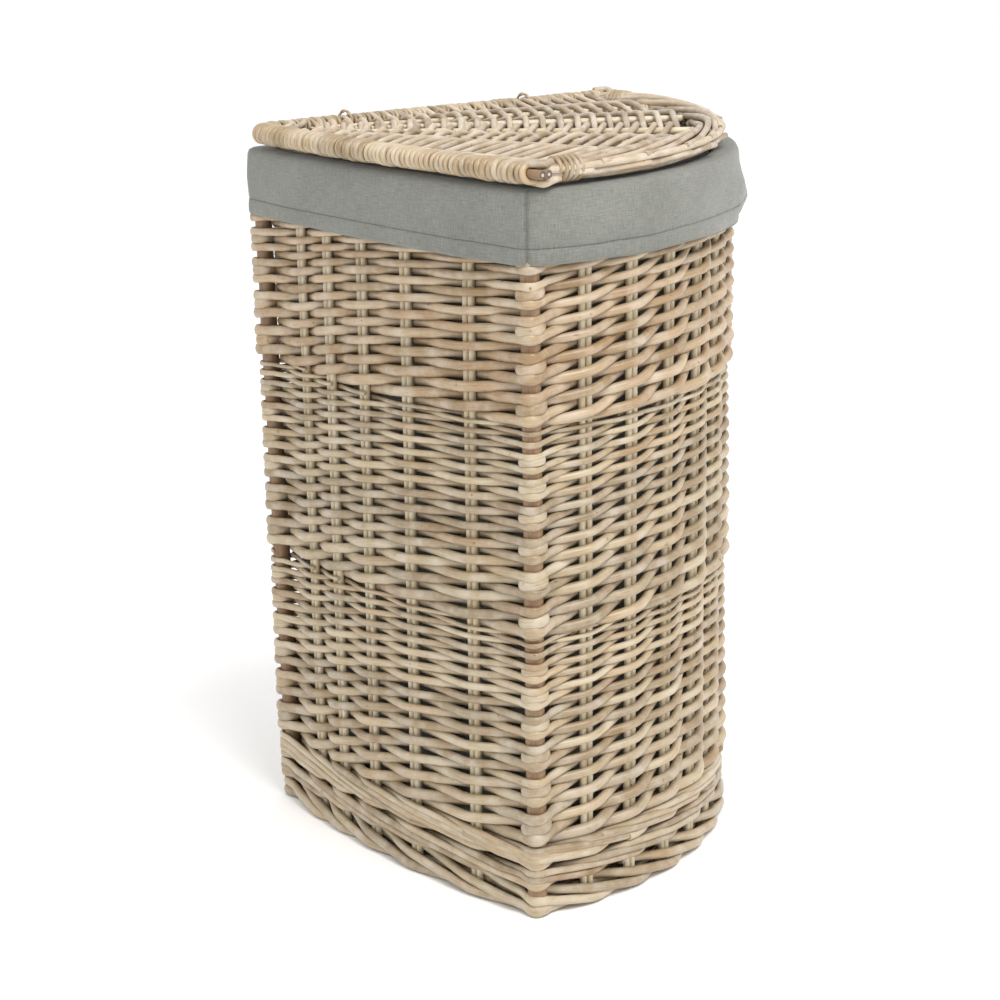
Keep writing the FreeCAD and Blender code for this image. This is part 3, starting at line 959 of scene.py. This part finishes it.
def weaveLid(seed=23):
    # weavers in arcs about the back corner, over one rib and under the next, turned round both edges
    luck = random.Random(seed)
    outside, above, inside = weavers["edgeStops"]
    rods = []
    row = 0
    reach = weavers["first"]
    while reach < weavers["last"]:
        radius = weavers["radius"] * luck.uniform(0.86, 1.08)
        way = 1 if row % 2 else -1
        rise = lid["stickRadius"] + radius * weavers["edgeHug"]
        tuck = lid["stickRadius"] - weavers["edgeTuck"]
        along = reach + luck.uniform(-0.5, 0.5) * mm
        points = [(edgeSpot(0, along, outside, way * tuck), radius * weavers["tipSize"]),
                  (edgeSpot(0, along, above, way * rise), radius),
                  (edgeSpot(0, along, inside, way * rise * weavers["leaves"]), radius)]
        side = -way
        for angle, near, far in lidRibs:
            if near < reach < far + weavers["pastRibs"]:
                rib = lid["ribTip"] + (lid["ribEnd"] - lid["ribTip"]) * (reach - near) / (far - near)
                height = side * (rib + radius * weavers["ribHug"])
                half = 2 * rib + weavers["ribClear"]
                for aside in (-half, half):
                    left, right = lidFlat(angle, reach + luck.uniform(-0.4, 0.4) * mm, aside)
                    points.append((lidSpot(left, right, height), radius * luck.uniform(0.96, 1.04)))
            side = -side
        points += [(edgeSpot(1, along, inside, side * rise * weavers["leaves"]), radius),
                   (edgeSpot(1, along, above, side * rise), radius),
                   (edgeSpot(1, along, outside, side * tuck), radius * weavers["tipSize"])]
        rods.append(points)
        reach += weavers["pitch"] * luck.uniform(0.9, 1.1)
        row += 1
    makeRods("lid_weavers", rods, "lid", ["lid_weave"], lidWillow, seed)


weaveLid()

edgeWraps = {
    "radius": (2.7 * mm, 2.2 * mm),     # free edge, hinged edge
    "bulge": (1.2 * mm, 0.5 * mm),
    "pitch": (5.6 * mm, 4.6 * mm),
    "pointsPerTurn": 10,
    "hug": 0.85,
    "square": 0.72,           # how squarely a turn lies round the two sticks side by side
    "bulgeUp": 0.6,           # share of a turn's bulge that goes up and down
    "from": 12 * mm,
    "to": (363 * mm, 361 * mm),
    "loopRoom": 4.5 * mm,     # no turns this near a hinge loop
}
hingeLoops = ("hinge_loop_back", "hinge_loop_front")
loopPlaces = []
for node in hingeLoops:
    low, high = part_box(node)
    loopPlaces.append(((low + high) / 2 - backCorner).dot(rightWay))


def squared(value, power):
    return math.copysign(abs(value) ** power, value)


def wrapEdge(side, seed):
    # a skein of willow wound round the two edge sticks, turn by turn
    luck = random.Random(seed)
    wraps = edgeWraps
    radius, pitch = wraps["radius"][side], wraps["pitch"][side]
    wide = 2 * lid["stickRadius"] + radius * wraps["hug"]
    tall = lid["stickRadius"] + radius * wraps["hug"]
    stops = [wraps["from"]]
    if side:
        for place in loopPlaces:
            stops += [place - wraps["loopRoom"], place + wraps["loopRoom"]]
    stops.append(wraps["to"][side])
    rods = []
    for start, end in zip(stops[::2], stops[1::2]):
        along = start
        while along < end - pitch:
            turns = min(luck.randint(2, 6), int((end - along) / pitch))
            points = []
            lean = 0.0
            size = radius * luck.uniform(0.86, 1.08)
            for step in range(turns * wraps["pointsPerTurn"] + 1):
                angle = math.tau * step / wraps["pointsPerTurn"]
                if step % wraps["pointsPerTurn"] == 0:
                    lean = luck.uniform(-1.5, 1.5) * mm
                    turnSize = size * luck.uniform(0.84, 1.06)
                    bulge = luck.uniform(-0.3, 1.0) * wraps["bulge"][side]
                inwards = (wide + bulge) * squared(math.cos(angle), wraps["square"])
                height = (tall + bulge * wraps["bulgeUp"]) * squared(math.sin(angle), wraps["square"])
                at = along + pitch * step / wraps["pointsPerTurn"] + lean * math.sin(angle)
                points.append((edgeSpot(side, at, inwards, height), turnSize))
            rods.append(points)
            along += turns * pitch + luck.uniform(-0.3, 0.9) * mm
    return rods


makeRods("lid_edge_wraps", wrapEdge(0, 81) + wrapEdge(1, 82), "lid", None, skeinWillow, 83,
         sides=8, steps=2)
print("lid woven")

border = {
    "start": 350 * mm,        # where the front border's middle line meets the flat sides
    "reach": 359 * mm,        # back corner to the middle of the border
    "half": 11.5 * mm,        # half its width
    "radius": 2.9 * mm,
    "span": math.radians(36),              # turn that one rod covers
    "every": math.radians(9.2),
    "from": math.radians(-2.0),
    "to": math.radians(92.0),
    "points": 9,
    "pinch": 0.62,            # the bundle's size at its two tied ends
    "pinchFades": math.radians(14),
    "outPower": 0.8,          # how soon a rod reaches the rim
    "low": 2.0 * mm,          # height of a rod's ends, and how much more its middle stands out
    "arch": 5.2 * mm,
    "archBy": 1.15,
    "endLift": (1.5 * mm, -1.0 * mm),      # at the rim: top family, lower family
    "taper": (1.05, 0.2),
    "apart": 3 * mm,
    "strands": ((10.5 * mm, 1.5 * mm), (8.0 * mm, -4.0 * mm), (-8.5 * mm, 0.0)),     # outwards, height
    "strandSteps": 25,
    # the rods over and under the stick ends: back from the end, inwards, height; then on by turns
    "cornerStops": ((16 * mm, -3.0 * mm, 6.6 * mm), (8 * mm, -2.0 * mm, 7.0 * mm)),
    "cornerEnd": (4 * mm, 4.0 * mm, 7.0 * mm),
    "cornerTurns": (math.radians(0.4), math.radians(5.0), math.radians(12.0)),
    "cornerIn": 3 * mm,
    "cornerHeight": 5.5 * mm,
    "cornerFalls": 0.8 * mm,
    "tie": (math.radians(0.2), math.radians(4.0)),
    "tieRadius": 1.9 * mm,
    "tieTurns": 4.5,
    "tieHalf": (7.6 * mm, 6.2 * mm),       # across and up
    "tiePoints": 12,
}
chord = (border["start"] + lid["edgeLine"]) / math.sqrt(2)
halfChord = (border["start"] - lid["edgeLine"]) / math.sqrt(2)
borderRise = border["reach"] - chord
borderRadius = (halfChord ** 2 + borderRise ** 2) / (2 * borderRise)
borderMiddle = (border["reach"] - borderRadius) / math.sqrt(2)


def borderSpot(turn, outwards, height):
    # a place in the lid's curved front border, by the turn about the middle of its arc
    left = borderMiddle + (borderRadius + outwards) * math.cos(turn)
    right = borderMiddle + (borderRadius + outwards) * math.sin(turn)
    return lidSpot(left, right, height)


def pinch(turn):
    # the bundle draws together where it is tied, close to its two ends
    nearest = min(turn - border["from"], border["to"] - turn)
    return border["pinch"] + (1 - border["pinch"]) * clamp(nearest / border["pinchFades"])


def makeBorder(seed=31):
    # long rods that sweep from the rib ends out to the rim, one family on top and one below
    luck = random.Random(seed)
    rods = []
    half = border["half"]
    thick, thins = border["taper"]
    for family in (1, -1):
        start = border["from"] - border["span"] * 0.8
        endLift = border["endLift"][0 if family > 0 else 1]
        while start < border["to"] - border["span"] * 0.2:
            radius = border["radius"] * luck.uniform(0.86, 1.12)
            poke = luck.uniform(0.0, 3.0) * mm if family < 0 else luck.uniform(-2.0, 0.5) * mm
            points = []
            for step in range(border["points"]):
                share = step / (border["points"] - 1)
                # the top family runs back towards the start, the lower one on towards the end
                turn = start + border["span"] * (1 - share if family > 0 else share)
                turn = min(max(turn, border["from"]), border["to"])
                outwards = (-half + 2 * half * share ** border["outPower"]) * pinch(turn) + poke * share
                arch = math.sin(math.pi * min(share * border["archBy"], 1.0))
                height = family * (border["low"] + border["arch"] * arch) + endLift * share
                place = borderSpot(turn, outwards + luck.uniform(-0.5, 0.5) * mm, height * pinch(turn))
                points.append((place, radius * (thick - thins * share)))
            # rods that end at a corner stop there
            kept = [points[0]]
            for before, point in zip(points, points[1:]):
                if (point[0] - before[0]).length > border["apart"]:
                    kept.append(point)
            if len(kept) > 3:
                rods.append(kept)
            start += border["every"] * luck.uniform(0.85, 1.15)
    # strands that follow the rim from end to end
    for outwards, height in border["strands"]:
        points = []
        for step in range(border["strandSteps"] + 1):
            turn = border["from"] + (border["to"] - border["from"]) * step / border["strandSteps"]
            shift = luck.uniform(-0.7, 0.7) * mm
            points.append((borderSpot(turn, outwards * pinch(turn) + shift, height * pinch(turn) + shift),
                           border["radius"] * luck.uniform(0.92, 1.05)))
        rods.append(points)
    # one rod over and one under the stick ends at each corner
    for side in (0, 1):
        end = lid["stickEnds"][side]
        for over in (1, -1):
            stops = [(back, over * inwards, height) for back, inwards, height in border["cornerStops"]]
            points = [(edgeSpot(side, end - back, inwards, over * height), border["radius"])
                      for back, inwards, height in (*stops, border["cornerEnd"])]
            for step, turn in enumerate(border["cornerTurns"]):
                turn = math.pi / 2 - turn if side else turn
                height = border["cornerHeight"] - border["cornerFalls"] * step
                points.append((borderSpot(turn, -over * border["cornerIn"], over * height), border["radius"]))
            rods.append(points)
    makeRods("lid_front_border_rods", rods, "lid", ["lid_front_border"], lidWillow, seed)


makeBorder()


def tieBorder(node, mirrored, seed):
    # turns of thin rod that bind one end of the front border
    luck = random.Random(seed)
    first, last = border["tie"]
    steps = round(border["tieTurns"] * border["tiePoints"])
    wide, tall = (half + border["tieRadius"] for half in border["tieHalf"])
    points = []
    for step in range(steps + 1):
        angle = math.tau * step / border["tiePoints"]
        turn = first + (last - first) * step / steps
        if mirrored:
            turn = math.pi / 2 - turn
        height = tall * math.sin(angle) + luck.uniform(-0.2, 0.2) * mm
        points.append((borderSpot(turn, wide * math.cos(angle), height),
                       border["tieRadius"] * luck.uniform(0.95, 1.05)))
    makeRods(node + "_rod", [points], "lid", [node], skeinWillow, seed)


tieBorder("lid_tie_left", False, 91)
tieBorder("lid_tie_right", True, 92)

loop = {
    "strand": 0.85 * mm,
    "apart": 0.75 * mm,       # each strand from the middle of the twist
    "twists": 9,
    "points": 64,
    "inside": 8.3 * mm,       # leaves the edge sticks room to turn
    "rod": 1.6 * mm,
}


def makeLoop(node, place, seed):
    # a closed ring of two thin willow strands twisted together, round the lid's edge and the rim
    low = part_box(node)[0]
    radius = loop["inside"] + loop["rod"]
    top = lidHeight
    bottom = low.z + loop["rod"] + radius
    straight = top - bottom
    around = math.tau * radius + 2 * straight
    rods = []
    for strand in (0, 1):
        points = []
        for step in range(loop["points"] + 1):
            share = step / loop["points"]
            run = share * around
            if run < math.pi * radius:
                angle = run / radius
                out, height, tilt = radius * math.cos(angle), top + radius * math.sin(angle), angle
            elif run < math.pi * radius + straight:
                out, height, tilt = -radius, top - (run - math.pi * radius), math.pi
            elif run < 2 * math.pi * radius + straight:
                angle = math.pi + (run - math.pi * radius - straight) / radius
                out, height, tilt = radius * math.cos(angle), bottom + radius * math.sin(angle), angle
            else:
                out, height, tilt = radius, bottom + run - 2 * math.pi * radius - straight, math.tau
            twist = math.tau * (loop["twists"] * share + strand / 2)
            away = loop["apart"] * math.cos(twist)
            spot = lidSpot(lid["edgeLine"] - out - away * math.cos(tilt),
                           place + loop["apart"] * math.sin(twist), 0)
            spot.z = height + away * math.sin(tilt)
            points.append((spot, loop["strand"]))
        rods.append(points)
    makeRods(node + "_willow", rods, "root", [node], skeinWillow, seed, sides=6, steps=2)


for seed, (node, place) in enumerate(zip(hingeLoops, loopPlaces), 95):
    makeLoop(node, place, seed)
print("lid bound and hung")

base = {
    "stickTip": 1.6 * mm,
    "stickRadius": 4.0 * mm,
    "weaver": 2.6 * mm,
    "pitch": 6.6 * mm,
    "first": 30 * mm,
    "edgeRoom": 11 * mm,
    "stickSteps": 6,
    "wave": 3.4 * mm,         # how far a rod lies over or under the base's middle
    "longStretch": math.radians(4),        # a middle point is added to stretches longer than this
}


def makeBase(seed=37):
    # the bottom: rods in arcs about the back corner, over and under five sticks
    luck = random.Random(seed)
    low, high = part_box("base_weave")
    middle = (low.z + high.z) / 2
    names = [f"base_stick_{n}" for n in range(1, 6)]
    ribs = fanRibs(names)
    for number, (angle, near, far) in enumerate(ribs, 1):
        points = []
        for step in range(base["stickSteps"] + 1):
            share = step / base["stickSteps"]
            left, right = lidFlat(angle, near + (far - near) * share)
            spot = lidSpot(left, right, 0)
            spot.z = middle
            points.append((spot, base["stickTip"] + (base["stickRadius"] - base["stickTip"]) * share))
        makeRods(f"base_stick_{number}_rod", [points], "root", [f"base_stick_{number}"],
                 postWillow, 100 + number)
    ring = wallOutline(middle, -base["edgeRoom"])[0]
    flat = [((place - backCorner).dot(leftWay), (place - backCorner).dot(rightWay)) for place in ring]
    polar = [(math.hypot(a, b), math.atan2(b, a)) for a, b in flat]
    farthest = max(far for far, angle in polar)
    rods = []
    side = 1
    reach = min(far for far, angle in polar) + base["first"]
    while reach < farthest - base["weaver"]:
        # where the arc at this reach crosses the wall: the row runs between the outermost crossings
        crossings = []
        for (far, angle), (nextFar, nextAngle) in zip(polar, polar[1:] + polar[:1]):
            if (far - reach) * (nextFar - reach) < 0:
                crossings.append(angle + (nextAngle - angle) * (reach - far) / (nextFar - far))
        crossings.sort()
        for start, end in zip(crossings[::2], crossings[1::2]):
            stops = [(start, -side)]
            over = side
            for angle, near, far in ribs:
                if near < reach < far and start < angle < end:
                    stops.append((angle, over))
                over = -over
            stops.append((end, over))
            radius = base["weaver"] * luck.uniform(0.9, 1.08)
            points = []
            for number, (angle, over) in enumerate(stops):
                if number:
                    last, halfway = stops[number - 1][0], (stops[number - 1][0] + angle) / 2
                    if angle - last > base["longStretch"]:
                        spot = lidSpot(*lidFlat(halfway, reach), 0)
                        spot.z = middle
                        points.append((spot, radius))
                spot = lidSpot(*lidFlat(angle, reach), 0)
                spot.z = middle + over * base["wave"]
                points.append((spot, radius))
            if len(points) > 2:
                rods.append(points)
        side = -side
        reach += base["pitch"]
    makeRods("base_rods", rods, "root", ["base_weave"], wallWillow, seed)


makeBase()
makeCuff()
makeBag()
print("liner hung")


camera = {
    "place": Vector((-2.0787, -0.2898, 0.8029)), "way": (0.9908, 0.1350), "pitch": 14.46, "roll": -0.95,
    "lens": 95.2,
}


def placeCamera():
    data = bpy.data.cameras.new("camera")
    data.lens = camera["lens"]
    data.sensor_width = 36.0
    data.clip_end = 50.0
    view = bpy.data.objects.new("camera", data)
    bpy.context.scene.collection.objects.link(view)
    pitch = math.radians(camera["pitch"])
    flat = Vector((*camera["way"], 0)).normalized()
    look = flat * math.cos(pitch) - up * math.sin(pitch)
    turn = look.to_track_quat("-Z", "Y").to_matrix()
    turn = turn @ Matrix.Rotation(math.radians(camera["roll"]), 3, "Z")
    view.matrix_world = Matrix.Translation(camera["place"]) @ turn.to_4x4()
    bpy.context.scene.camera = view


def addLight(name, place, target, size, power, colour="#FFFFFF"):
    data = bpy.data.lights.new(name, "AREA")
    data.shape = "DISK"
    data.size = size
    data.energy = power
    data.color = linear(colour)[:3]
    lamp = bpy.data.objects.new(name, data)
    bpy.context.scene.collection.objects.link(lamp)
    lamp.location = place
    lamp.rotation_euler = (Vector(target) - Vector(place)).to_track_quat("-Z", "Y").to_euler()


studio = {"floorHalf": 6.0, "paper": "#FFFFFF", "worldStrength": 1.0}


def makeStage():
    shape = bmesh.new()
    bmesh.ops.create_grid(shape, x_segments=1, y_segments=1, size=studio["floorHalf"])
    mesh = bpy.data.meshes.new("floor")
    shape.to_mesh(mesh)
    shape.free()
    floor = bpy.data.objects.new("floor", mesh)
    bpy.context.scene.collection.objects.link(floor)
    # matt background paper: even white, no gloss
    white = newMaterial("studio paper")
    fibre = addNode(white, "ShaderNodeTexNoise", {"Scale": 400.0, "Detail": 2.0})
    bump = addNode(white, "ShaderNodeBump", {"Strength": 0.05, "Distance": 0.0002},
                   {"Height": fibre.outputs["Fac"]})
    shader = addNode(white, "ShaderNodeBsdfPrincipled",
                     {"Base Color": linear(studio["paper"]), "Roughness": 1.0, "Specular IOR Level": 0.0},
                     {"Normal": bump.outputs["Normal"]})
    addNode(white, "ShaderNodeOutputMaterial", links={"Surface": shader.outputs["BSDF"]})
    mesh.materials.append(white)
    world = bpy.data.worlds.new("studio")
    world.use_nodes = True
    world.node_tree.nodes["Background"].inputs["Color"].default_value = linear("#FFFFFF")
    world.node_tree.nodes["Background"].inputs["Strength"].default_value = studio["worldStrength"]
    bpy.context.scene.world = world


placeCamera()
makeStage()
addLight("key", (-1.7, -1.5, 3.4), (0, 0, 0.3), 2.2, 100, "#FFFCFA")
addLight("fill", (-2.4, 1.6, 1.4), (0, 0, 0.3), 1.6, 6)
bpy.context.scene.view_settings.view_transform = "Standard"
print("stage set")
